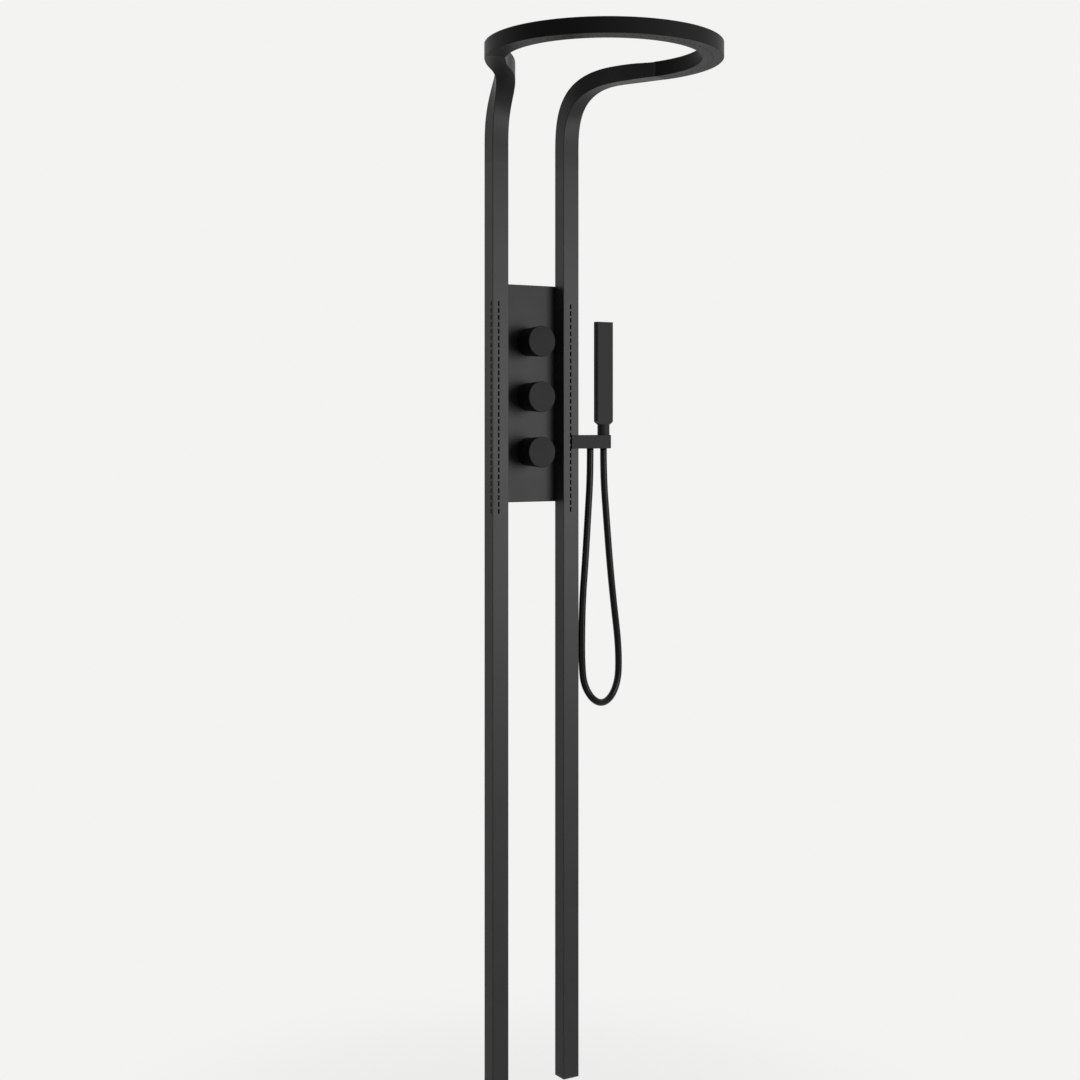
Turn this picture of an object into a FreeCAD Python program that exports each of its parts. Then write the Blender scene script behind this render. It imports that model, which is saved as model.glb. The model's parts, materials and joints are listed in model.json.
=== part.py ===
import FreeCAD, Part
import math
import os

V = FreeCAD.Vector
os.makedirs("parts", exist_ok=True)

# Wall shower panel, millimetres. The wall is the plane y = 0, the front faces -Y and +Z is up.
# The origin lies on the wall behind the middle of the control cover.

# Tube of the posts, the arms and the ring
post_width = 36.0
post_depth = 33.0
ring_width = 40.0
ring_depth = 29.0
tube_wall = 2.5
edge_break = 1.0
post_pitch = 164.0
wall_gap = 20.0
post_bottom = -1368.5
arm_base = 482.0
arm_reach = 188.0
arm_rise = 148.0
arm_squareness = 2.76
arm_section_count = 12
arm_taper_power = 0.35
flare_radius = 126.0
ring_radius = 202.5
joint_straight = 30.0
ring_overlap = 22.0
fit_gap = 0.2

# Body jets
slot_count = 31
slot_pitch = 13.5
slot_length = 8.4
slot_width = 2.4
slot_row_centre = -28.6
left_row_offset = -4.5
right_row_offset = -1.5
side_row_setback = 6.4
jet_strip_width = 6.5
jet_strip_thickness = 2.0
jet_tongue_height = 1.3
duct_width = 21.5
duct_depth = 13.0
duct_wall = 1.5
duct_groove = 4.0
duct_end_margin = 12.0

# Risers, feeds and blocks inside the posts
riser_radius = 5.5
riser_wall = 1.0
block_half_width = 10.0
block_half_height = 14.0
feed_radius = 6.0
feed_wall = 1.0
feed_seat = 6.0
feed_depth = 10.5
feed_bend = 9.0
feed_hole_gap = 0.6
jet_feed_height = -60.0
sleeve_half_length = 20.0
ring_sleeve_length = 34.0
ring_sleeve_gap = 0.9

# End caps
cap_thickness = 3.0
cap_spigot = 12.0

# Control cover
cover_height = 431.0
cover_side_gap = 0.3
cover_front = 24.0
cover_wall = 2.5
gasket_thickness = 1.0

# Valve body and its three cartridges
knob_pitch = 109.0
middle_knob_height = -7.0
valve_half_width = 30.0
valve_margin = 9.0
valve_front_gap = 0.5
arm_half_width = 52.0
arm_half_height = 18.0
inlet_height = 47.5
boss_radius = 20.5
boss_clearance = 1.5
cartridge_radius = 16.0
cartridge_seat = 9.0
cartridge_proud = 4.0
stem_radius = 11.5
stem_length = 17.0
nut_radius = 23.5
nut_length = 7.0
nut_gap = 0.2
spindle_radius = 4.0
spindle_clearance = 0.05
spindle_sunk = 8.0
spindle_reach = 15.0

# Knobs
knob_base_radius = 27.8
knob_face_radius = 30.5
knob_length = 50.0
knob_gap = 0.6
knob_wall = 3.0
knob_face_thickness = 4.0
knob_edge = 0.8
knob_boss_radius = 8.0
knob_boss_gap = 2.0
grub_radius = 2.0
grub_length = 4.0
key_hole_radius = 2.4

# Water inlets, G1/2 threads
inlet_spacing = 76.0
inlet_radius = 10.45
inlet_length = 22.0
inlet_spigot_radius = 9.5
inlet_spigot_length = 10.0
inlet_bore_radius = 7.5

# Rails behind the cover that hold both posts, and the round spacers above and below them
rail_height = 24.0
rail_lap = 22.0
rail_inset_share = 11 / 28
rail_notch_gap = 0.5
wall_screw_spacing = 90.0
wall_screw_radius = 3.25
screw_sink_radius = 6.5
screw_sink_depth = 5.0
post_screw_radius = 2.5
post_screw_proud = 0.5
post_screw_head_radius = 4.5
post_screw_head = 3.0
spacer_radius = 5.0
spacer_stud_radius = 3.0
spacer_stud_proud = 0.5
spacer_foot = 2.0
lower_spacer_inset = 170.0
upper_spacer_height = 400.0

# Holder bar with its socket and outlet
bar_height = 27.3
bar_centre = -96.2
bar_depth = 31.0
bar_proud = 3.0
bar_edge = 1.5
socket_x = 168.0
outlet_x = 135.6
socket_radius = 12.9
hose_hole_radius = 8.5
hose_nut_level = 3.85
outlet_bore_radius = 9.0
outlet_bore_length = 18.0
outlet_nut_length = 5.0
outlet_nut_gap = 0.1
bar_channel_radius = 4.5
bar_nipple_wall = 1.0
bar_nipple_seat = 5.0
bar_nipple_reach = 8.0
bar_nipple_forward = 2.0
bar_lip_gap = 0.5

# Hand shower
neck_radius = 12.4
neck_bore_radius = 8.0
cone_nut_radius = 12.0
cone_nut_length = 11.0
shell_width = 41.0
shell_depth = 14.0
shell_height = 208.0
shell_wall = 2.0
shell_corner = 4.0
shell_chamfer_width = 9.0
shell_chamfer_height = 7.0
shell_above_bar = 21.3
neck_insert = 14.0
neck_insert_radius = 4.8
spray_width = 26.0
spray_length = 150.0
spray_thickness = 1.6
spray_top_margin = 14.0
spray_rows = 3
spray_holes_per_row = 12
spray_pin_width = 1.8
spray_pin_height = 0.5

# Overhead nozzles
strip_width = 10.0
strip_thickness = 1.2
strip_slot_width = 4.0
strip_end_angle = 8.0
nozzle_count = 48
nozzle_width = 2.0
nozzle_height = 0.4
middle_share = 0.5

# Hose
hose_radius = 7.0
hose_bore_radius = 4.5
arc_share = 0.45
hose_route = [
    (135.6, -40.5, -106.0),
    (135.6, -40.5, -165.0),
    (127.5, -45.0, -240.0),
    (117.0, -51.0, -335.0),
    (106.4, -57.0, -415.0),
    (99.5, -61.5, -494.0),
    (99.5, -62.3, -540.0),
    (102.5, -60.5, -584.0),
    (123.0, -55.0, -615.0),
    (156.5, -46.0, -627.5),
    (190.5, -36.5, -615.0),
    (210.8, -31.0, -583.0),
    (212.5, -30.5, -540.0),
    (209.5, -30.5, -494.0),
    (197.5, -33.0, -421.0),
    (186.0, -36.0, -338.0),
    (176.5, -38.5, -250.0),
    (168.0, -40.5, -168.0),
    (168.0, -40.5, -106.0),
]

# Places that follow from the sizes above
half_pitch = post_pitch / 2
post_back = -wall_gap
post_front = -wall_gap - post_depth
post_middle = -wall_gap - post_depth / 2
inner_width = post_width - 2 * tube_wall
inner_front = post_front + tube_wall
inner_back = post_back - tube_wall
flare_turn = math.acos((half_pitch + flare_radius) / (ring_radius + flare_radius))
flare_length = flare_radius * flare_turn
ring_y = post_middle - (ring_radius + flare_radius) * math.sin(flare_turn)
ring_level = arm_base + arm_rise
arm_end = arm_reach + ring_overlap
arm_end_angle = math.pi / 2 - flare_turn + (arm_end - flare_length) / ring_radius
post_top = arm_base - joint_straight
jet_low = slot_row_centre - slot_pitch * (slot_count - 1) / 2 - slot_length / 2
jet_high = slot_row_centre + slot_pitch * (slot_count - 1) / 2 + slot_length / 2
cover_half_width = half_pitch - post_width / 2 - cover_side_gap
valve_reach = knob_pitch - middle_knob_height + boss_radius + valve_margin
rail_level = cover_height / 2 - rail_inset_share * (cover_height / 2 - valve_reach)
valve_front = -cover_front + cover_wall + valve_front_gap
stem_back = -cover_front - cartridge_proud
stem_front = stem_back - stem_length
spindle_front = stem_front - spindle_reach
knob_heights = [middle_knob_height + knob_pitch * step for step in (1, 0, -1)]
knob_names = ["temperature", "diverter", "volume"]
knob_back = -cover_front - knob_gap
knob_front = knob_back - knob_length
block_y = inner_back - duct_depth / 2
bar_left = half_pitch + post_width / 2
bar_front = post_front - bar_proud
socket_y = bar_front + bar_depth / 2
bar_bottom = bar_centre - bar_height / 2
bar_top = bar_centre + bar_height / 2
bar_lip_left = half_pitch + right_row_offset + slot_width / 2 + bar_lip_gap
nipple_y = block_y - bar_nipple_forward
nut_bottom = bar_bottom + hose_nut_level
nut_top = nut_bottom + cone_nut_length
shell_bottom = bar_top + shell_above_bar
post_sides = {"left": -1, "right": 1}


# Basic solids
def block(x0, x1, y0, y1, z0, z1):
    return Part.makeBox(abs(x1 - x0), abs(y1 - y0), abs(z1 - z0), V(min(x0, x1), min(y0, y1), min(z0, z1)))


def rod(radius, start, end):
    along = V(*end) - V(*start)
    return Part.makeCylinder(radius, along.Length, V(*start), along)


def pipe(radius, wall, start, end):
    return rod(radius, start, end).cut(rod(radius - wall, start, end))


def save(name, shape):
    solid = shape.Solids[0] if len(shape.Solids) == 1 else Part.makeCompound(shape.Solids)
    solid.exportStep("parts/" + name + ".step")
    print(name, len(shape.Solids), shape.isValid(), round(shape.Volume))


# Section of the bent tube: a rectangle with broken edges, square to the path
def section_points(width, depth, chamfer):
    w, d = width / 2, depth / 2
    c = chamfer
    if c == 0:
        return [(-w, -d), (w, -d), (w, d), (-w, d)]
    return [(-w, -d + c), (-w + c, -d), (w - c, -d), (w, -d + c),
            (w, d - c), (w - c, d), (-w + c, d), (-w, d - c)]


def section_wire(centre, across, up, width, depth, chamfer):
    points = [centre + across * a + up * b for a, b in section_points(width, depth, chamfer)]
    return Part.makePolygon(points + points[:1])


# Plan path of an arm: it starts forward, turns outward and runs into the ring's circle
def plan_point(length):
    if length < flare_length:
        turn = max(length, 0) / flare_radius
        x = half_pitch + flare_radius * (1 - math.cos(turn))
        y = post_middle - flare_radius * math.sin(turn)
        return x, y, math.sin(turn), -math.cos(turn)
    angle = math.pi / 2 - flare_turn + (length - flare_length) / ring_radius
    x = ring_radius * math.sin(angle)
    y = ring_y + ring_radius * math.cos(angle)
    return x, y, math.cos(angle), -math.sin(angle)


def arm_station(side, plan, height, slope):
    x, y, heading_x, heading_y = plan_point(plan)
    centre = V(side * x, y, height)
    across = V(-heading_y, side * heading_x, 0)
    up = V(-side * heading_x * math.sin(slope), -heading_y * math.sin(slope), math.cos(slope))
    return centre, across, up


def arm_stations(side):
    stations = [arm_station(side, 0, post_top, math.pi / 2) + (post_width, post_depth)]
    for step in range(arm_section_count + 1):
        turn = math.pi / 2 * step / arm_section_count
        run = max(math.cos(turn), 0) ** (2 / arm_squareness)
        rise = math.sin(turn) ** (2 / arm_squareness)
        slope = math.atan2(arm_rise * run ** (arm_squareness - 1), arm_reach * rise ** (arm_squareness - 1))
        width = ring_width + (post_width - ring_width) * run
        depth = ring_depth + (post_depth - ring_depth) * run ** arm_taper_power
        place = arm_station(side, arm_reach * (1 - run), arm_base + arm_rise * rise, slope)
        stations.append(place + (width, depth))
    stations.append(arm_station(side, arm_end, ring_level, 0) + (ring_width, ring_depth))
    return stations


def arm_loft(side, inset, chamfer):
    wires = []
    for centre, across, up, width, depth in arm_stations(side):
        wires.append(section_wire(centre, across, up, width - 2 * inset, depth - 2 * inset, chamfer))
    return Part.makeLoft(wires, True, False, False)


def make_arm(side):
    return arm_loft(side, 0, edge_break).cut(arm_loft(side, tube_wall, 0))


# Arcs of the ring, by revolving a flat profile about the ring's axis
def ring_arc(width, low, high, start_angle, end_angle, chamfer=0, radius=ring_radius):
    x, y = math.sin(start_angle), math.cos(start_angle)
    outward = V(x, y, 0)
    centre = V(0, ring_y, (low + high) / 2) + outward * radius
    face = Part.Face(section_wire(centre, outward, V(0, 0, 1), width, high - low, chamfer))
    sweep = math.degrees(end_angle - start_angle)
    return face.revolve(V(0, ring_y, 0), V(0, 0, -1), sweep)


def ring_nozzle_angles():
    start = arm_end_angle + math.radians(strip_end_angle)
    end = 2 * math.pi - start
    return [start + (end - start) * (index + middle_share) / nozzle_count for index in range(nozzle_count)]


def make_ring():
    low, high = ring_level - ring_depth / 2, ring_level + ring_depth / 2
    end = 2 * math.pi - arm_end_angle
    tube = ring_arc(ring_width, low, high, arm_end_angle, end, edge_break)
    bore = ring_arc(ring_width - 2 * tube_wall, low + tube_wall, high - tube_wall, arm_end_angle, end)
    tube = tube.cut(bore)
    first = arm_end_angle + math.radians(strip_end_angle)
    last = 2 * math.pi - first
    tube = tube.cut(ring_arc(strip_width, low, low + strip_thickness, first, last))
    return tube.cut(ring_arc(strip_slot_width, low, low + tube_wall, first, last))


def make_nozzle_strip():
    low = ring_level - ring_depth / 2
    first = arm_end_angle + math.radians(strip_end_angle)
    last = 2 * math.pi - first
    strip = ring_arc(strip_width, low, low + strip_thickness, first, last)
    pins = []
    half_angle = nozzle_width / ring_radius / 2
    for angle in ring_nozzle_angles():
        pins.append(ring_arc(nozzle_width, low - nozzle_height, low + strip_thickness / 2,
                             angle - half_angle, angle + half_angle))
    return strip.multiFuse(pins).removeSplitter()


def make_ring_sleeve(side):
    half_turn = ring_sleeve_length / ring_radius / 2
    inset = tube_wall + ring_sleeve_gap
    low, high = ring_level - ring_depth / 2 + inset, ring_level + ring_depth / 2 - inset
    width = ring_width - 2 * inset
    middle = arm_end_angle if side > 0 else 2 * math.pi - arm_end_angle
    first, last = middle - half_turn, middle + half_turn
    bore = ring_arc(width - 2 * tube_wall, low + tube_wall, high - tube_wall, first, last)
    return ring_arc(width, low, high, first, last).cut(bore)


# Posts: hollow tube with rows of jet slots in the front and in the outer side
def slot_levels():
    first = slot_row_centre - slot_pitch * (slot_count - 1) / 2
    return [first + slot_pitch * index for index in range(slot_count)]


def side_slot_levels(side):
    clear = bar_height / 2 + slot_pitch
    if side < 0:
        return slot_levels()
    return [level for level in slot_levels() if abs(level - bar_centre) > clear]


def front_row_x(side):
    return side * half_pitch + (left_row_offset if side < 0 else right_row_offset)


def side_row_y():
    return post_front + side_row_setback


def front_slots(side, depth_start, depth_end, width, length):
    x = front_row_x(side)
    return [block(x - width / 2, x + width / 2, depth_start, depth_end, z - length / 2, z + length / 2)
            for z in slot_levels()]


def side_slots(side, reach_start, reach_end, width, length):
    y = side_row_y()
    middle = side * half_pitch
    return [block(middle + side * reach_start, middle + side * reach_end, y - width / 2, y + width / 2,
                  z - length / 2, z + length / 2) for z in side_slot_levels(side)]


def make_post(side):
    middle = side * half_pitch
    section = section_wire(V(middle, post_middle, post_bottom + cap_thickness), V(1, 0, 0), V(0, 1, 0),
                           post_width, post_depth, edge_break)
    length = post_top - post_bottom - cap_thickness
    post = Part.Face(section).extrude(V(0, 0, length))
    bore = section_wire(V(middle, post_middle, post_bottom + cap_thickness), V(1, 0, 0), V(0, 1, 0),
                        inner_width, post_depth - 2 * tube_wall, 0)
    post = post.cut(Part.Face(bore).extrude(V(0, 0, length)))
    cuts = front_slots(side, post_front, inner_front, slot_width, slot_length)
    cuts += side_slots(side, inner_width / 2, post_width / 2, slot_width, slot_length)
    for level in feed_levels(side):
        cuts.append(rod(feed_radius, (middle, inner_back, level), (middle, post_back, level)))
    for level in spacer_levels().values():
        cuts.append(rod(spacer_stud_radius, (middle, inner_back, level), (middle, post_back, level)))
    for level in (rail_level, -rail_level):
        x = post_screw_x(side)
        cuts.append(rod(post_screw_radius, (x, inner_back, level), (x, post_back, level)))
    if side > 0:
        cuts.append(rod(bar_channel_radius, (middle + inner_width / 2, nipple_y, bar_centre),
                        (bar_left, nipple_y, bar_centre)))
    return post.cut(Part.makeCompound(cuts))


def make_end_cap(side):
    middle = side * half_pitch
    outline = section_wire(V(middle, post_middle, post_bottom), V(1, 0, 0), V(0, 1, 0),
                           post_width, post_depth, edge_break)
    cap = Part.Face(outline).extrude(V(0, 0, cap_thickness))
    half = inner_width / 2 - fit_gap
    top = post_bottom + cap_thickness + cap_spigot
    spigot = block(middle - half, middle + half, inner_front + fit_gap, inner_back - fit_gap,
                   post_bottom + cap_thickness, top)
    inset = tube_wall
    hollow = block(middle - half + inset, middle + half - inset, inner_front + fit_gap + inset,
                   inner_back - fit_gap - inset, post_bottom + cap_thickness, top)
    return cap.fuse(spigot.cut(hollow))


# Jet strips: flat rubber bars whose tongues stand in the slots
def make_front_strip(side):
    x = front_row_x(side)
    strip = block(x - jet_strip_width / 2, x + jet_strip_width / 2, inner_front,
                  inner_front + jet_strip_thickness, jet_low - slot_length, jet_high + slot_length)
    tongues = front_slots(side, inner_front - jet_tongue_height, inner_front,
                          slot_width - 2 * fit_gap, slot_length - 2 * fit_gap)
    return strip.multiFuse(tongues)


def make_side_strip(side):
    y = side_row_y()
    outer = side * (half_pitch + inner_width / 2)
    strip = block(outer, outer - side * jet_strip_thickness, y - jet_strip_width / 2, y + jet_strip_width / 2,
                  jet_low - slot_length, jet_high + slot_length)
    tongues = side_slots(side, inner_width / 2, inner_width / 2 + jet_tongue_height,
                         slot_width - 2 * fit_gap, slot_length - 2 * fit_gap)
    return strip.multiFuse(tongues)


# Jet duct: the water channel behind both strips, with a groove open towards each
def make_jet_duct(side):
    outer = side * (half_pitch + inner_width / 2 - jet_strip_thickness)
    inner = outer - side * duct_width
    front = inner_front + jet_strip_thickness
    back = front + duct_depth
    low, high = jet_low - duct_end_margin, jet_high + duct_end_margin
    duct = block(outer, inner, front, back, low, high)
    w = duct_wall
    duct = duct.cut(block(outer - side * w, inner + side * w, front + w, back - w, low + w, high - w))
    x = front_row_x(side)
    y = side_row_y()
    half = duct_groove / 2
    duct = duct.cut(block(x - half, x + half, front, front + w, jet_low, jet_high))
    duct = duct.cut(block(outer, outer - side * w, y - half, y + half, jet_low, jet_high))
    x = side * half_pitch
    return duct.cut(rod(riser_radius, (x, back - w, jet_feed_height), (x, back, jet_feed_height)))


# Water blocks inside the posts, the risers and the sleeves under the arms
def feed_levels(side):
    return [jet_feed_height] if side < 0 else [jet_feed_height, bar_centre]


def make_tee_block(side):
    x = side * half_pitch
    tee = block(x - block_half_width, x + block_half_width, inner_back, inner_back - duct_depth,
                jet_feed_height - block_half_height, jet_feed_height + block_half_height)
    bore = riser_radius - riser_wall
    tee = tee.cut(rod(bore, (x, inner_back, jet_feed_height), (x, inner_back - duct_depth, jet_feed_height)))
    return tee.cut(rod(bore, (x, block_y, jet_feed_height),
                       (x, block_y, jet_feed_height + block_half_height)))


def make_riser(side):
    x = side * half_pitch
    return pipe(riser_radius, riser_wall, (x, block_y, jet_feed_height + block_half_height),
                (x, block_y, post_top - sleeve_half_length))


def make_arm_sleeve(side):
    x = side * half_pitch
    half = inner_width / 2 - fit_gap
    low, high = post_top - sleeve_half_length, post_top + sleeve_half_length
    sleeve = block(x - half, x + half, inner_front + fit_gap, inner_back - fit_gap, low, high)
    return sleeve.cut(rod(riser_radius - riser_wall, (x, block_y, low), (x, block_y, high)))


def make_outlet_block():
    outer = half_pitch + inner_width / 2
    solid = block(half_pitch - block_half_width, outer, inner_back, inner_back - duct_depth,
                  bar_centre - block_half_width, bar_centre + block_half_width)
    bore = feed_radius - feed_wall
    solid = solid.cut(rod(bore, (half_pitch, inner_back, bar_centre), (half_pitch, nipple_y, bar_centre)))
    solid = solid.cut(rod(bar_channel_radius - bar_nipple_wall, (half_pitch, nipple_y, bar_centre),
                          (outer, nipple_y, bar_centre)))
    return solid.cut(rod(bar_channel_radius, (outer - bar_nipple_seat, nipple_y, bar_centre),
                         (outer, nipple_y, bar_centre)))


def make_feed(side, level):
    start = V(side * (valve_half_width - feed_seat), -feed_depth, level)
    corner = V(side * half_pitch, -feed_depth, level)
    end = V(side * half_pitch, inner_back, level)
    turn = route_turn(start, corner, end, feed_bend)
    path = Part.Wire([Part.makeLine(start, turn[0]), turn[1], Part.makeLine(turn[2], end)])
    return tube_along(path, feed_radius).cut(tube_along(path, feed_radius - feed_wall))


# A tangent arc of a set radius at a corner, as its start, its edge and its end
def route_turn(before, corner, after, radius):
    back = (before - corner).normalize()
    ahead = (after - corner).normalize()
    half_turn = (math.pi - back.getAngle(ahead)) / 2
    reach = radius * math.tan(half_turn)
    first = corner + back * reach
    last = corner + ahead * reach
    inward = (back + ahead).normalize()
    middle = corner + inward * (radius / math.cos(half_turn) - radius)
    return first, Part.Arc(first, middle, last).toShape(), last


def tube_along(path, radius):
    start = path.OrderedEdges[0]
    point = start.valueAt(start.FirstParameter)
    heading = start.tangentAt(start.FirstParameter)
    circle = Part.Wire([Part.makeCircle(radius, point, heading)])
    return path.makePipeShell([circle], True, False)


# Control cover: a tray with holes for the valve's bosses and for the feed pipes
def make_cover():
    half = cover_half_width
    low, high = -cover_height / 2, cover_height / 2
    cover = block(-half, half, -cover_front, -gasket_thickness, low, high)
    upright = [edge for edge in cover.Edges if edge.BoundBox.YLength < edge.Length / 2
               and edge.BoundBox.YMax < -cover_front / 2]
    cover = cover.makeChamfer(edge_break, upright)
    w = cover_wall
    cover = cover.cut(block(-half + w, half - w, -cover_front + w, -gasket_thickness, low + w, high - w))
    for height in knob_heights:
        hole = rod(boss_radius + boss_clearance, (0, -cover_front, height), (0, -cover_front + w, height))
        cover = cover.cut(hole)
    for side in (-1, 1):
        for level in feed_levels(side):
            hole = rod(feed_radius + feed_hole_gap, (side * (half - w), -feed_depth, level),
                       (side * half, -feed_depth, level))
            cover = cover.cut(hole)
    for level in (rail_level, -rail_level):
        notch = rail_height / 2 + rail_notch_gap
        cover = cover.cut(block(-half, half, post_back - rail_notch_gap, -gasket_thickness,
                                level - notch, level + notch))
    return cover


def make_gasket():
    half = cover_half_width
    high = cover_height / 2
    w = cover_wall
    frame = block(-half, half, -gasket_thickness, 0, -high, high)
    frame = frame.cut(block(-half + w, half - w, -gasket_thickness, 0, -high + w, high - w))
    notch = rail_height / 2 + rail_notch_gap
    for level in (rail_level, -rail_level):
        frame = frame.cut(block(-half, half, -gasket_thickness, 0, level - notch, level + notch))
    return frame


# Valve body on the wall, its cartridges, nuts, spindles and knobs
def make_valve_body():
    low = knob_heights[-1] - boss_radius - valve_margin
    high = knob_heights[0] + boss_radius + valve_margin
    body = block(-valve_half_width, valve_half_width, valve_front, 0, low, high)
    body = body.fuse(block(-arm_half_width, arm_half_width, valve_front, 0,
                           inlet_height - arm_half_height, inlet_height + arm_half_height))
    for height in knob_heights:
        body = body.fuse(rod(boss_radius, (0, 0, height), (0, -cover_front, height)))
        body = body.cut(rod(cartridge_radius, (0, -cartridge_seat, height), (0, -cover_front, height)))
    for side in (-1, 1):
        x = side * inlet_spacing / 2
        body = body.cut(rod(inlet_spigot_radius, (x, 0, inlet_height),
                            (x, -inlet_spigot_length, inlet_height)))
        for level in feed_levels(side):
            port = rod(feed_radius, (side * (valve_half_width - feed_seat), -feed_depth, level),
                       (side * valve_half_width, -feed_depth, level))
            body = body.cut(port)
    return body


def make_cartridge(height):
    cartridge = rod(cartridge_radius, (0, -cartridge_seat, height), (0, stem_back, height))
    cartridge = cartridge.fuse(rod(stem_radius, (0, stem_back, height), (0, stem_front, height)))
    hole = rod(spindle_radius + spindle_clearance, (0, stem_front + spindle_sunk, height),
               (0, stem_front, height))
    return cartridge.cut(hole)


def make_cartridge_nut(height):
    front = -cover_front - nut_length
    nut = rod(nut_radius, (0, -cover_front, height), (0, front, height))
    nut = nut.cut(rod(cartridge_radius + nut_gap, (0, -cover_front, height), (0, stem_back, height)))
    return nut.cut(rod(stem_radius + nut_gap, (0, stem_back, height), (0, front, height)))


def make_spindle(height):
    return rod(spindle_radius, (0, stem_front + spindle_sunk, height), (0, spindle_front, height))


def grub_place(height):
    y = (stem_front - knob_boss_gap + spindle_front) / 2
    return (0, y, height - spindle_radius), (0, y, height - spindle_radius - grub_length)


def make_knob(height):
    base = [(0, knob_back), (knob_base_radius, knob_back),
            (knob_face_radius, knob_front + knob_edge), (knob_face_radius - knob_edge, knob_front),
            (0, knob_front)]
    knob = turned(base, height)
    inside = [(0, knob_back), (knob_base_radius - knob_wall, knob_back),
              (knob_face_radius - knob_wall, knob_front + knob_face_thickness),
              (0, knob_front + knob_face_thickness)]
    knob = knob.cut(turned(inside, height))
    boss_back = stem_front - knob_boss_gap
    boss = rod(knob_boss_radius, (0, boss_back, height), (0, knob_front + knob_face_thickness, height))
    knob = knob.fuse(boss)
    knob = knob.cut(rod(spindle_radius, (0, boss_back, height), (0, spindle_front, height)))
    start, end = grub_place(height)
    knob = knob.cut(rod(grub_radius, (0, start[1], height),
                        (0, start[1], height - knob_boss_radius - grub_radius)))
    return knob.cut(rod(key_hole_radius, (0, start[1], height - knob_boss_radius - knob_wall),
                        (0, start[1], height - knob_face_radius)))


def turned(profile, height):
    points = [V(r, y, height) for r, y in profile]
    face = Part.Face(Part.makePolygon(points + points[:1]))
    return face.revolve(V(0, 0, height), V(0, 1, 0), 360)


def make_grub_screw(height):
    start, end = grub_place(height)
    return rod(grub_radius, start, end)


def make_inlet(side):
    x = side * inlet_spacing / 2
    inlet = rod(inlet_radius, (x, 0, inlet_height), (x, inlet_length, inlet_height))
    inlet = inlet.fuse(rod(inlet_spigot_radius, (x, -inlet_spigot_length, inlet_height),
                           (x, 0, inlet_height)))
    return inlet.cut(rod(inlet_bore_radius, (x, -inlet_spigot_length, inlet_height),
                         (x, inlet_length, inlet_height)))


# Rails: bars screwed to the posts' backs, with countersunk holes for the wall screws
def rail_half_length():
    return half_pitch - post_width / 2 + rail_lap


def post_screw_x(side):
    return side * (half_pitch - post_width / 2 + rail_lap / 2)


def make_rail(level):
    half = rail_half_length()
    low, high = level - rail_height / 2, level + rail_height / 2
    rail = block(-half, half, post_back, 0, low, high)
    for side in (-1, 1):
        x = side * wall_screw_spacing / 2
        rail = rail.cut(rod(wall_screw_radius, (x, post_back, level), (x, 0, level)))
        rail = rail.cut(Part.makeCone(screw_sink_radius, wall_screw_radius, screw_sink_depth,
                                      V(x, post_back, level), V(0, 1, 0)))
        x = post_screw_x(side)
        rail = rail.cut(rod(post_screw_radius, (x, post_back, level), (x, 0, level)))
        rail = rail.cut(rod(post_screw_head_radius, (x, -post_screw_head, level), (x, 0, level)))
    return rail


def make_post_screws():
    screws = []
    for level in (rail_level, -rail_level):
        for side in (-1, 1):
            x = post_screw_x(side)
            head = rod(post_screw_head_radius, (x, -post_screw_head, level), (x, 0, level))
            tip = inner_back - post_screw_proud
            shank = rod(post_screw_radius, (x, tip, level), (x, -post_screw_head, level))
            screws.append(head.fuse(shank))
    return Part.makeCompound(screws)


# Spacers: round studs in the posts' backs, with a narrower foot against the wall
def spacer_levels():
    return {"upper": upper_spacer_height, "lower": post_bottom + lower_spacer_inset}


def make_spacer(side, level):
    x = side * half_pitch
    spacer = rod(spacer_radius, (x, post_back, level), (x, -spacer_foot, level))
    stud_end = inner_back - spacer_stud_proud
    spacer = spacer.fuse(rod(spacer_stud_radius, (x, stud_end, level), (x, post_back, level)))
    return spacer.fuse(rod(spacer_radius - spacer_foot / 2, (x, -spacer_foot, level), (x, 0, level)))


# Holder bar: a bar with a round end, a lip on the post's front, a socket and a hose outlet
def make_bar():
    half = bar_depth / 2
    low, high = bar_bottom, bar_top
    bar = block(bar_left, socket_x, socket_y - half, socket_y + half, low, high)
    bar = bar.fuse(rod(half, (socket_x, socket_y, low), (socket_x, socket_y, high))).removeSplitter()
    rim = [edge for edge in bar.Edges if edge.BoundBox.ZLength < edge.Length / 2
           and edge.BoundBox.XMax > bar_left + bar_edge]
    bar = bar.makeFillet(bar_edge, rim)
    bar = bar.fuse(block(bar_lip_left, bar_left, bar_front, post_front, low, high))
    bar = bar.cut(rod(socket_radius, (socket_x, socket_y, nut_bottom), (socket_x, socket_y, high)))
    bar = bar.cut(rod(hose_hole_radius, (socket_x, socket_y, low), (socket_x, socket_y, nut_bottom)))
    bar = bar.cut(rod(outlet_bore_radius, (outlet_x, socket_y, low),
                      (outlet_x, socket_y, low + outlet_bore_length)))
    return bar.cut(rod(bar_channel_radius, (bar_left, nipple_y, bar_centre),
                       (outlet_x, nipple_y, bar_centre)))


def make_bar_nipple():
    start = half_pitch + inner_width / 2 - bar_nipple_seat
    return pipe(bar_channel_radius, bar_nipple_wall, (start, nipple_y, bar_centre),
                (bar_left + bar_nipple_reach, nipple_y, bar_centre))


def make_outlet_nut():
    radius = outlet_bore_radius - outlet_nut_gap
    return pipe(radius, radius - hose_bore_radius, (outlet_x, socket_y, nut_bottom),
                (outlet_x, socket_y, nut_bottom + outlet_nut_length))


def make_cone_nut():
    return pipe(cone_nut_radius, cone_nut_radius - hose_bore_radius, (socket_x, socket_y, nut_bottom),
                (socket_x, socket_y, nut_top))


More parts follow.
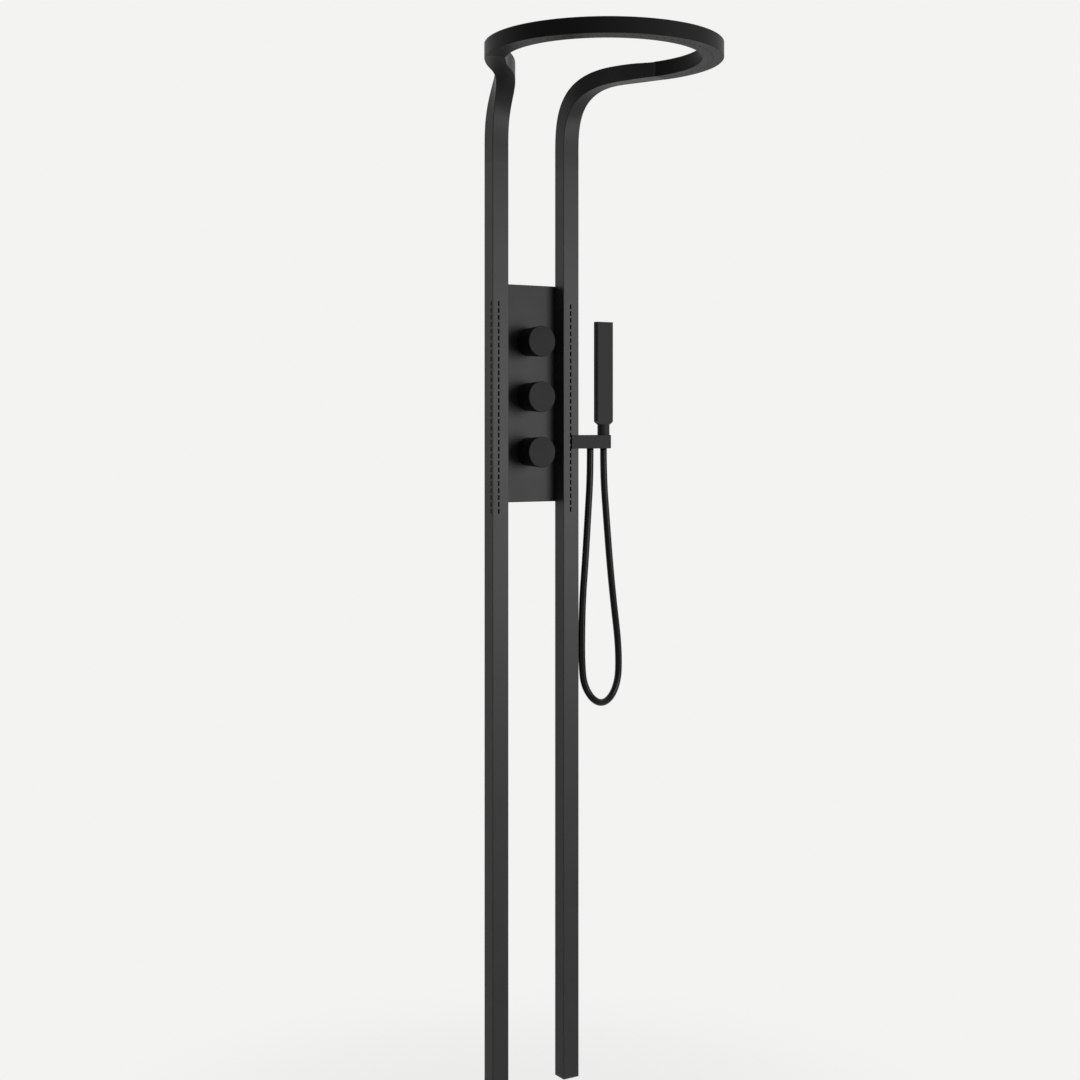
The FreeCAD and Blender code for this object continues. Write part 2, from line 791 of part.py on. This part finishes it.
# Hand shower: neck, hollow flat shell and the spray plate in its back
def shell_outline(inset, front, depth):
    half = shell_width / 2 - inset
    low, high = shell_bottom + inset, shell_bottom + shell_height - inset
    x = socket_x
    points = [V(x - half + shell_chamfer_width, front, low), V(x - half, front, low + shell_chamfer_height),
              V(x - half, front, high), V(x + half, front, high),
              V(x + half, front, low + shell_chamfer_height), V(x + half - shell_chamfer_width, front, low)]
    return Part.Face(Part.makePolygon(points + points[:1])).extrude(V(0, depth, 0))


def spray_block(width, length, depth_start, depth_end):
    top = shell_bottom + shell_height - spray_top_margin - (spray_length - length) / 2
    return block(socket_x - width / 2, socket_x + width / 2, depth_start, depth_end, top - length, top)


def make_shell():
    front = socket_y - shell_depth / 2
    shell = shell_outline(0, front, shell_depth)
    corners = [edge for edge in shell.Edges if edge.BoundBox.ZLength > shell_height / 2]
    shell = shell.makeFillet(shell_corner, corners)
    shell = shell.cut(shell_outline(shell_wall, front + shell_wall, shell_depth - 2 * shell_wall))
    back = front + shell_depth
    shell = shell.cut(spray_block(spray_width, spray_length, back - shell_wall, back))
    return shell.cut(rod(neck_insert_radius, (socket_x, socket_y, shell_bottom),
                         (socket_x, socket_y, shell_bottom + shell_wall)))


def make_spray_plate():
    back = socket_y + shell_depth / 2
    width, length = spray_width - 2 * fit_gap, spray_length - 2 * fit_gap
    plate = spray_block(width, length, back - shell_wall, back - shell_wall + spray_thickness)
    pins = []
    half = spray_pin_width / 2
    bottom = shell_bottom + shell_height - spray_top_margin - spray_length
    for row in range(spray_rows):
        x = socket_x + spray_width * ((row + middle_share) / spray_rows - middle_share)
        for hole in range(spray_holes_per_row):
            z = bottom + spray_length * (hole + middle_share) / spray_holes_per_row
            pins.append(block(x - half, x + half, back - shell_wall, back + spray_pin_height,
                              z - half, z + half))
    return plate.multiFuse(pins)


def make_neck():
    neck = rod(neck_radius, (socket_x, socket_y, nut_top), (socket_x, socket_y, shell_bottom))
    top = shell_bottom + neck_insert
    neck = neck.fuse(rod(neck_insert_radius, (socket_x, socket_y, shell_bottom), (socket_x, socket_y, top)))
    neck = neck.cut(rod(neck_bore_radius, (socket_x, socket_y, nut_top),
                        (socket_x, socket_y, shell_bottom - shell_wall)))
    return neck.cut(rod(neck_insert_radius - bar_nipple_wall, (socket_x, socket_y, nut_top),
                        (socket_x, socket_y, top)))


# Hose: straight runs joined by tangent arcs as large as the runs allow
def make_hose():
    points = [V(*point) for point in hose_route]
    edges = []
    place = points[0]
    radii = []
    for before, corner, after in zip(points, points[1:], points[2:]):
        back, ahead = before - corner, after - corner
        half_turn = (math.pi - back.getAngle(ahead)) / 2
        radius = arc_share * min(back.Length, ahead.Length) / math.tan(half_turn)
        first, arc, last = route_turn(before, corner, after, radius)
        edges += [Part.makeLine(place, first), arc]
        place = last
        radii.append(round(radius))
    edges.append(Part.makeLine(place, points[-1]))
    path = Part.Wire(edges)
    tube = tube_along(path, hose_radius)
    print("hose length", round(path.Length), "radii", radii)
    share = tube.Volume / (math.pi * hose_radius ** 2 * path.Length)
    print("hose volume over section times length", round(share, 3))
    return tube


# The pieces, each written as its own node
for side_name, side in post_sides.items():
    save(side_name + "_post", make_post(side))
    save(side_name + "_end_cap", make_end_cap(side))
    save(side_name + "_front_jet_strip", make_front_strip(side))
    save(side_name + "_side_jet_strip", make_side_strip(side))
    save(side_name + "_jet_duct", make_jet_duct(side))
    save(side_name + "_tee_block", make_tee_block(side))
    save(side_name + "_riser", make_riser(side))
    save(side_name + "_arm_sleeve", make_arm_sleeve(side))
    save(side_name + "_arm", make_arm(side))
    save(side_name + "_ring_sleeve", make_ring_sleeve(side))
    save(side_name + "_jet_feed", make_feed(side, jet_feed_height))
    for level_name, level in spacer_levels().items():
        save(level_name + "_" + side_name + "_spacer", make_spacer(side, level))
save("upper_rail", make_rail(rail_level))
save("lower_rail", make_rail(-rail_level))
save("post_screws", make_post_screws())
save("ring_tube", make_ring())
save("ring_nozzle_strip", make_nozzle_strip())
save("hand_shower_feed", make_feed(1, bar_centre))
save("outlet_block", make_outlet_block())
save("control_cover", make_cover())
save("cover_gasket", make_gasket())
save("valve_body", make_valve_body())
for name, height in zip(knob_names, knob_heights):
    save(name + "_cartridge", make_cartridge(height))
    save(name + "_spindle", make_spindle(height))
    save(name + "_knob", make_knob(height))
    save(name + "_grub_screw", make_grub_screw(height))
save("cartridge_nuts", Part.makeCompound([make_cartridge_nut(height) for height in knob_heights]))
save("cold_inlet", make_inlet(1))
save("hot_inlet", make_inlet(-1))
save("holder_bar", make_bar())
save("bar_nipple", make_bar_nipple())
save("hose_outlet_nut", make_outlet_nut())
save("hose_cone_nut", make_cone_nut())
save("hand_shower_neck", make_neck())
save("hand_shower_shell", make_shell())
save("spray_plate", make_spray_plate())
save("hose", make_hose())
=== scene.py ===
import json
import math

import bmesh
import bpy
from mathutils import Matrix, Vector


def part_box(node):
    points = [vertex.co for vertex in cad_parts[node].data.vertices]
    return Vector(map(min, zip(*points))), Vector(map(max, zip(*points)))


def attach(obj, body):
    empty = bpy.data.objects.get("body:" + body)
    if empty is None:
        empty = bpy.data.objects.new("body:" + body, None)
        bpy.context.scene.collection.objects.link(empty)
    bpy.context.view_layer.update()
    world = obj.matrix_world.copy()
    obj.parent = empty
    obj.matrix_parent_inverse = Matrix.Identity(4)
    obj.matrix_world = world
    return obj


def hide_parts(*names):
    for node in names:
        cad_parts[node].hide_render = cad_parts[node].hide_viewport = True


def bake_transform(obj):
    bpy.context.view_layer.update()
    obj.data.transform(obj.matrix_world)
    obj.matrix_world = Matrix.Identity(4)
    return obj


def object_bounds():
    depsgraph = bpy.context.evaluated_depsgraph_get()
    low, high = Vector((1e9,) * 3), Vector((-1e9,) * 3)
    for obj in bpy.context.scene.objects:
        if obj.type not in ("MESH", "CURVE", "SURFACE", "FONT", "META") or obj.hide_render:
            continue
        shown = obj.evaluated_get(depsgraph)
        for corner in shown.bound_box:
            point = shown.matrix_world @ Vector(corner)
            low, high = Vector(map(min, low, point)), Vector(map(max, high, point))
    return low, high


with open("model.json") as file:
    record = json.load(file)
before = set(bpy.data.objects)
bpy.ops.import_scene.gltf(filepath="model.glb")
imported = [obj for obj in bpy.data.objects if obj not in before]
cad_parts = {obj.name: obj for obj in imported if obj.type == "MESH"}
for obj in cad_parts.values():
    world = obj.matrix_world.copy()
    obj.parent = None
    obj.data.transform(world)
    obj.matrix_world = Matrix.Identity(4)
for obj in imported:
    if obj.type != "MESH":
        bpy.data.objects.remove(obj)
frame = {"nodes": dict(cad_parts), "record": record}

MM = 0.001
cad_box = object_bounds()

# Camera: level, at the front left, with its frame lowered instead of a tilt
camera_place = (-1809.8 * MM, -2968.1 * MM, -72.5 * MM)
camera_turn = math.radians(-31.95)
focal_pixels = 1737.0
horizon_row = 430.0
frame_pixels = 1080.0
sensor_width = 36.0

# Background and floor
background_colour = (0.896, 0.896, 0.888, 1)
world_light_colour = (0.95, 0.97, 1.0, 1)
world_light_strength = 0.08
floor_drop = 150 * MM
floor_radius = 1100 * MM
floor_segments = 96
floor_fade_start = 350 * MM
floor_shadow_share = 0.08
floor_bounce_colour = (0.4, 0.4, 0.4, 1)
floor_roughness = 1.0

# Soft lamps: place and target in metres, size across in metres, power in watts
lamps = {
    "key_lamp": ((1.15, -2.1, -0.05), (0, -0.05, -0.1), 1.5, 38.0),
    "left_lamp": ((-2.6, 2.2, 0.45), (-0.1, -0.05, -0.3), 1.8, 11.5),
}

# Hose: the route's control points, in metres; the loop's left side follows the photograph
hose_radius = 7 * MM
hose_sides = 28
hose_spline_steps = 12
hose_route = [
    (0.1356, -0.0405, -0.1060),
    (0.1356, -0.0405, -0.1650),
    (0.1275, -0.0450, -0.2400),
    (0.1170, -0.0510, -0.3350),
    (0.1117, -0.0485, -0.4150),
    (0.1088, -0.0500, -0.4940),
    (0.1090, -0.0505, -0.5400),
    (0.1125, -0.0511, -0.5830),
    (0.1300, -0.0552, -0.6145),
    (0.1615, -0.0460, -0.6280),
    (0.1920, -0.0365, -0.6160),
    (0.2108, -0.0310, -0.5830),
    (0.2125, -0.0305, -0.5400),
    (0.2095, -0.0305, -0.4940),
    (0.1975, -0.0330, -0.4210),
    (0.1860, -0.0360, -0.3380),
    (0.1765, -0.0385, -0.2500),
    (0.1680, -0.0405, -0.1680),
    (0.1680, -0.0405, -0.1060),
]

# Rubber lips around the jet slots: a flange on the post and a sleeve in the slot
lip_count = 31
lip_pitch = 13.5 * MM
lip_row_centre = -28.6 * MM
lip_length = 8.4 * MM
lip_width = 2.4 * MM
lip_flange = 0.5 * MM
lip_proud = 0.12 * MM
lip_sleeve = 0.2 * MM
post_front = -53 * MM
post_outer = 100 * MM
lip_depth = 1.25 * MM

# Painted shade: the ring's coat colour is darker than the posts' to stand in for shade, and the arms are
# painted darker with height, from the posts' colour to the ring's
post_colour = (0.052, 0.052, 0.053)
ring_painted_shade_colour = (0.019, 0.019, 0.0194)
arm_painted_shade_low = 450 * MM
arm_painted_shade_high = 620 * MM
coat_roughness = 0.42

# Detail of the noise behind the fine grain and behind the broad patches
fine_detail = 3
broad_detail = 4


# Camera and stage
def add_camera():
    data = bpy.data.cameras.new("camera")
    data.sensor_fit = "HORIZONTAL"
    data.sensor_width = sensor_width
    data.lens = focal_pixels / frame_pixels * sensor_width
    data.shift_y = (horizon_row - frame_pixels / 2) / frame_pixels
    camera = bpy.data.objects.new("camera", data)
    camera.location = camera_place
    camera.rotation_euler = (math.pi / 2, 0, camera_turn)
    bpy.context.scene.collection.objects.link(camera)
    bpy.context.scene.camera = camera


def seen_directly(tree):
    path = tree.nodes.new("ShaderNodeLightPath")
    mirror = tree.nodes.new("ShaderNodeMath")
    mirror.operation = "MAXIMUM"
    tree.links.new(path.outputs["Is Glossy Ray"], mirror.inputs[0])
    tree.links.new(path.outputs["Is Transmission Ray"], mirror.inputs[1])
    seen = tree.nodes.new("ShaderNodeMath")
    seen.operation = "MAXIMUM"
    tree.links.new(path.outputs["Is Camera Ray"], seen.inputs[0])
    tree.links.new(mirror.outputs[0], seen.inputs[1])
    return seen.outputs[0]


def set_world():
    world = bpy.data.worlds.new("studio")
    bpy.context.scene.world = world
    world.use_nodes = True
    tree = world.node_tree
    shown = tree.nodes["Background"]
    shown.inputs["Color"].default_value = background_colour
    light = tree.nodes.new("ShaderNodeBackground")
    light.inputs["Color"].default_value = world_light_colour
    light.inputs["Strength"].default_value = world_light_strength
    mix = tree.nodes.new("ShaderNodeMixShader")
    tree.links.new(seen_directly(tree), mix.inputs["Fac"])
    tree.links.new(light.outputs[0], mix.inputs[1])
    tree.links.new(shown.outputs[0], mix.inputs[2])
    tree.links.new(mix.outputs[0], tree.nodes["World Output"].inputs["Surface"])


def floor_material():
    material = bpy.data.materials.new("floor")
    material.use_nodes = True
    tree = material.node_tree
    paint = tree.nodes["Principled BSDF"]
    paint.inputs["Base Color"].default_value = floor_bounce_colour
    paint.inputs["Roughness"].default_value = floor_roughness
    glow = tree.nodes.new("ShaderNodeEmission")
    glow.inputs["Color"].default_value = background_colour
    place = tree.nodes.new("ShaderNodeTexCoord")
    flat = tree.nodes.new("ShaderNodeVectorMath")
    flat.operation = "MULTIPLY"
    flat.inputs[1].default_value = (1, 1, 0)
    tree.links.new(place.outputs["Object"], flat.inputs[0])
    reach = tree.nodes.new("ShaderNodeVectorMath")
    reach.operation = "LENGTH"
    tree.links.new(flat.outputs[0], reach.inputs[0])
    fade = tree.nodes.new("ShaderNodeMapRange")
    fade.interpolation_type = "SMOOTHSTEP"
    fade.inputs["From Min"].default_value = floor_fade_start
    fade.inputs["From Max"].default_value = floor_radius
    fade.inputs["To Min"].default_value = floor_shadow_share
    fade.inputs["To Max"].default_value = 0
    tree.links.new(reach.outputs["Value"], fade.inputs["Value"])
    both = tree.nodes.new("ShaderNodeMixShader")
    tree.links.new(fade.outputs[0], both.inputs["Fac"])
    tree.links.new(glow.outputs[0], both.inputs[1])
    tree.links.new(paint.outputs[0], both.inputs[2])
    mix = tree.nodes.new("ShaderNodeMixShader")
    tree.links.new(seen_directly(tree), mix.inputs["Fac"])
    tree.links.new(paint.outputs[0], mix.inputs[1])
    tree.links.new(both.outputs[0], mix.inputs[2])
    tree.links.new(mix.outputs[0], tree.nodes["Material Output"].inputs["Surface"])
    return material


def add_floor():
    form = bmesh.new()
    bmesh.ops.create_circle(form, cap_ends=True, segments=floor_segments, radius=floor_radius)
    mesh = to_mesh(form, "floor")
    mesh.transform(Matrix.Translation((0, 0, cad_box[0][2] - floor_drop)))
    floor = bpy.data.objects.new("floor", mesh)
    floor.data.materials.append(floor_material())
    bpy.context.scene.collection.objects.link(floor)


def add_lamps():
    for name, (place, target, size, power) in lamps.items():
        data = bpy.data.lights.new(name, "AREA")
        data.shape = "DISK"
        data.size = size
        data.energy = power
        lamp = bpy.data.objects.new(name, data)
        lamp.visible_camera = False
        lamp.location = place
        aim = Vector(target) - Vector(place)
        lamp.rotation_euler = aim.to_track_quat("-Z", "Y").to_euler()
        bpy.context.scene.collection.objects.link(lamp)


# Surfaces: one builder for the grain, the tone and the gloss that vary over a surface
def make_surface(name, colour, roughness, metallic=0.0, grain=0.8 * MM, depth=0.02 * MM,
                 stretch=(1, 1, 1), tone=0.12, gloss=0.06, patch=60 * MM, specular=0.5):
    material = bpy.data.materials.new(name)
    material.use_nodes = True
    tree = material.node_tree
    shader = tree.nodes["Principled BSDF"]
    shader.inputs["Metallic"].default_value = metallic
    shader.inputs["Specular IOR Level"].default_value = specular
    place = tree.nodes.new("ShaderNodeTexCoord")
    mapping = tree.nodes.new("ShaderNodeMapping")
    mapping.inputs["Scale"].default_value = stretch
    tree.links.new(place.outputs["Object"], mapping.inputs["Vector"])

    fine = tree.nodes.new("ShaderNodeTexNoise")
    fine.inputs["Scale"].default_value = 1 / grain
    fine.inputs["Detail"].default_value = fine_detail
    tree.links.new(mapping.outputs[0], fine.inputs["Vector"])
    bump = tree.nodes.new("ShaderNodeBump")
    bump.inputs["Distance"].default_value = depth
    tree.links.new(fine.outputs["Fac"], bump.inputs["Height"])
    tree.links.new(bump.outputs[0], shader.inputs["Normal"])

    broad = tree.nodes.new("ShaderNodeTexNoise")
    broad.inputs["Scale"].default_value = 1 / patch
    broad.inputs["Detail"].default_value = broad_detail
    tree.links.new(mapping.outputs[0], broad.inputs["Vector"])
    rough = tree.nodes.new("ShaderNodeMapRange")
    rough.inputs["To Min"].default_value = roughness - gloss
    rough.inputs["To Max"].default_value = roughness + gloss
    tree.links.new(broad.outputs["Fac"], rough.inputs["Value"])
    tree.links.new(rough.outputs[0], shader.inputs["Roughness"])

    mix = tree.nodes.new("ShaderNodeMix")
    mix.data_type = "RGBA"
    dark, light = 1 - tone, 1 + tone
    mix.inputs["A"].default_value = (*[channel * dark for channel in colour], 1)
    mix.inputs["B"].default_value = (*[min(channel * light, 1) for channel in colour], 1)
    tree.links.new(broad.outputs["Fac"], mix.inputs["Factor"])
    tree.links.new(mix.outputs["Result"], shader.inputs["Base Color"])
    return material


def black_coat():
    return make_surface("black_coat", colour=post_colour, roughness=coat_roughness, specular=0.15,
                        grain=0.9 * MM, depth=0.03 * MM)


def black_coat_smooth():
    return make_surface("black_coat_smooth", colour=(0.022, 0.022, 0.0225), roughness=coat_roughness,
                        specular=0.15, grain=0.5 * MM, depth=0.012 * MM)


# Painted shade: the posts' coat, painted darker with height towards the ring's darker colour
def arm_coat_painted_shade():
    material = make_surface("arm_coat_painted_shade", colour=post_colour, roughness=coat_roughness, specular=0.12,
                            grain=0.9 * MM, depth=0.03 * MM)
    tree = material.node_tree
    paint = tree.nodes["Principled BSDF"].inputs["Base Color"]
    lower_tone = paint.links[0].from_socket
    place = tree.nodes.new("ShaderNodeTexCoord")
    split = tree.nodes.new("ShaderNodeSeparateXYZ")
    tree.links.new(place.outputs["Object"], split.inputs[0])
    # Painted shade: darker towards the top of the arms
    painted_shade_by_height = tree.nodes.new("ShaderNodeMapRange")
    painted_shade_by_height.interpolation_type = "SMOOTHSTEP"
    painted_shade_by_height.inputs["From Min"].default_value = arm_painted_shade_low
    painted_shade_by_height.inputs["From Max"].default_value = arm_painted_shade_high
    tree.links.new(split.outputs["Z"], painted_shade_by_height.inputs["Value"])
    mix = tree.nodes.new("ShaderNodeMix")
    mix.data_type = "RGBA"
    mix.inputs["B"].default_value = (*ring_painted_shade_colour, 1)
    tree.links.new(painted_shade_by_height.outputs[0], mix.inputs["Factor"])
    tree.links.new(lower_tone, mix.inputs["A"])
    tree.links.new(mix.outputs["Result"], paint)
    return material


# Painted shade: a darker copy of the posts' coat, standing in for the shade on the ring
def ring_coat_painted_shade():
    return make_surface("ring_coat_painted_shade", colour=ring_painted_shade_colour, roughness=coat_roughness, specular=0.04,
                        grain=0.8 * MM, depth=0.02 * MM)


def knob_coat():
    return make_surface("knob_coat", colour=(0.009, 0.009, 0.0093), roughness=coat_roughness,
                        specular=0.08, grain=0.5 * MM, depth=0.012 * MM)


def shower_coat():
    return make_surface("shower_coat", colour=(0.034, 0.034, 0.0345), roughness=coat_roughness,
                        specular=0.05, grain=0.6 * MM, depth=0.015 * MM)


def jet_rubber():
    return make_surface("jet_rubber", colour=(0.0015, 0.0015, 0.0015), roughness=0.7, specular=0.03,
                        grain=0.3 * MM, depth=0.02 * MM)


def black_plastic():
    return make_surface("black_plastic", colour=(0.018, 0.018, 0.018), roughness=0.55,
                        grain=0.4 * MM, depth=0.02 * MM)


def black_rubber():
    return make_surface("black_rubber", colour=(0.009, 0.009, 0.009), roughness=0.7,
                        grain=0.3 * MM, depth=0.02 * MM)


def hose_plastic():
    return make_surface("hose_plastic", colour=(0.003, 0.003, 0.0034), roughness=0.24, specular=0.12,
                        grain=6 * MM, depth=0.05 * MM, gloss=0.03)


def cast_brass():
    return make_surface("cast_brass", colour=(0.55, 0.4, 0.17), roughness=0.48, metallic=1.0,
                        grain=0.7 * MM, depth=0.12 * MM, patch=25 * MM)


def drawn_copper():
    return make_surface("drawn_copper", colour=(0.72, 0.36, 0.22), roughness=0.32, metallic=1.0,
                        grain=0.8 * MM, depth=0.03 * MM, stretch=(1, 1, 0.06), patch=30 * MM)


def chromed_brass():
    return make_surface("chromed_brass", colour=(0.62, 0.63, 0.65), roughness=0.12, metallic=1.0,
                        grain=4 * MM, depth=0.01 * MM, gloss=0.04)


def grey_plastic():
    return make_surface("grey_plastic", colour=(0.24, 0.24, 0.25), roughness=0.5,
                        grain=0.5 * MM, depth=0.03 * MM)


def bare_steel():
    return make_surface("bare_steel", colour=(0.42, 0.42, 0.43), roughness=0.36, metallic=1.0,
                        grain=0.4 * MM, depth=0.03 * MM, stretch=(0.05, 1, 1), patch=20 * MM)


surface_makers = (black_coat, black_coat_smooth, arm_coat_painted_shade, ring_coat_painted_shade, knob_coat, shower_coat,
                  black_plastic, black_rubber, jet_rubber, hose_plastic, cast_brass, drawn_copper,
                  chromed_brass, grey_plastic, bare_steel)

# Nodes whose finish differs from their material slot's
own_finish = {name + "_knob": "knob_coat" for name in ("temperature", "diverter", "volume")}
own_finish.update({name: "shower_coat" for name in ("holder_bar", "hand_shower_shell", "hand_shower_neck")})
# The arms get the coat with painted shade, darker towards the top
own_finish.update({name: "arm_coat_painted_shade" for name in ("left_arm", "right_arm")})
# The ring gets the darker coat that paints shade
own_finish.update({name: "ring_coat_painted_shade" for name in ("ring_tube", "ring_nozzle_strip")})
own_finish.update({side + "_jet_strip": "jet_rubber"
                   for side in ("left_front", "left_side", "right_front", "right_side")})


def finish_nodes(surfaces):
    slots = {part["node"]: part["material_slot"] for part in frame["record"]["subparts"]}
    for name, node in frame["nodes"].items():
        node.data.materials.clear()
        node.data.materials.append(surfaces[own_finish.get(name, slots[name])])


# Meshes
def to_mesh(form, name):
    mesh = bpy.data.meshes.new(name)
    form.to_mesh(mesh)
    form.free()
    return mesh


def add_piece(name, mesh, surface, smooth=True):
    mesh.materials.append(surface)
    if smooth:
        mesh.shade_smooth()
    piece = bpy.data.objects.new(name, mesh)
    bpy.context.scene.collection.objects.link(piece)
    return piece


def spline_line(points, steps):
    curve = bpy.data.curves.new("route", "CURVE")
    curve.dimensions = "3D"
    curve.resolution_u = steps
    spline = curve.splines.new("NURBS")
    spline.points.add(len(points) - 1)
    for place, point in zip(spline.points, points):
        place.co = (*point, 1)
    spline.order_u = 3
    spline.use_endpoint_u = True
    holder = bpy.data.objects.new("route", curve)
    bpy.context.scene.collection.objects.link(holder)
    bpy.context.view_layer.update()
    line = bpy.data.meshes.new_from_object(holder)
    places = [vertex.co.copy() for vertex in line.vertices]
    bpy.data.meshes.remove(line)
    bpy.data.objects.remove(holder)
    bpy.data.curves.remove(curve)
    return places


def join_rings(form, rings):
    for first, second in zip(rings, rings[1:]):
        for side in range(len(first)):
            after = (side + 1) % len(first)
            form.faces.new((first[side], first[after], second[after], second[side]))


def tube_mesh(name, line, radius, sides):
    form = bmesh.new()
    rings = []
    across = Vector((1, 0, 0))
    for index, place in enumerate(line):
        ahead = line[min(index + 1, len(line) - 1)] - line[max(index - 1, 0)]
        ahead.normalize()
        across = (across - ahead * across.dot(ahead)).normalized()
        up = ahead.cross(across)
        ring = []
        for side in range(sides):
            turn = 2 * math.pi * side / sides
            ring.append(form.verts.new(place + (across * math.cos(turn) + up * math.sin(turn)) * radius))
        rings.append(ring)
    join_rings(form, rings)
    form.faces.new(rings[0][::-1])
    form.faces.new(rings[-1])
    bmesh.ops.recalc_face_normals(form, faces=form.faces)
    return to_mesh(form, name)


def add_hose(surface):
    line = spline_line(hose_route, hose_spline_steps)
    mesh = tube_mesh("hose_tube", line, hose_radius, hose_sides)
    hose = add_piece("hose_tube", mesh, surface)
    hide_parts("hose")
    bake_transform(hose)


# Jet lips: a rectangular frame has an inner and an outer size and stands from low to high
def add_frame(form, centre, across, out, inner, outer, low, high):
    up = Vector((0, 0, 1))
    rings = []
    for (width, length), level in ((outer, low), (outer, high), (inner, high), (inner, low)):
        ring = []
        for right, top in ((-1, -1), (1, -1), (1, 1), (-1, 1)):
            place = centre + across * right * width / 2 + up * top * length / 2 + out * level
            ring.append(form.verts.new(place))
        rings.append(ring)
    join_rings(form, rings + rings[:1])


def grown(margin):
    return lip_width + 2 * margin, lip_length + 2 * margin


def add_lips(name, centre, across, out, surface, gaps=()):
    form = bmesh.new()
    for index in range(lip_count):
        level = lip_row_centre + lip_pitch * (index - (lip_count - 1) / 2)
        if any(low < level < high for low, high in gaps):
            continue
        place = Vector((*centre, level))
        throat = grown(-lip_sleeve)
        add_frame(form, place, across, out, throat, grown(lip_flange), 0, lip_proud)
        add_frame(form, place, across, out, throat, grown(0), -lip_depth, 0)
    bmesh.ops.recalc_face_normals(form, faces=form.faces)
    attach(add_piece(name, to_mesh(form, name), surface, smooth=False), "frame")


def add_all_lips(surface):
    bar_low, bar_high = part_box("holder_bar")
    bar_gap = (bar_low.z - lip_pitch, bar_high.z + lip_pitch)
    along, ahead = Vector((1, 0, 0)), Vector((0, 1, 0))
    for side, name, gaps in ((-1, "left", ()), (1, "right", (bar_gap,))):
        low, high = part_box(name + "_front_jet_strip")
        place = ((low.x + high.x) / 2, post_front)
        add_lips(name + "_front_jet_lips", place, along, -ahead, surface)
        low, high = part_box(name + "_side_jet_strip")
        place = (side * post_outer, (low.y + high.y) / 2)
        add_lips(name + "_side_jet_lips", place, ahead, along * side, surface, gaps)


add_camera()
set_world()
add_floor()
add_lamps()
surfaces = {make.__name__: make() for make in surface_makers}
finish_nodes(surfaces)
add_all_lips(surfaces["jet_rubber"])
add_hose(surfaces["hose_plastic"])
bpy.context.scene.view_settings.view_transform = "Standard"
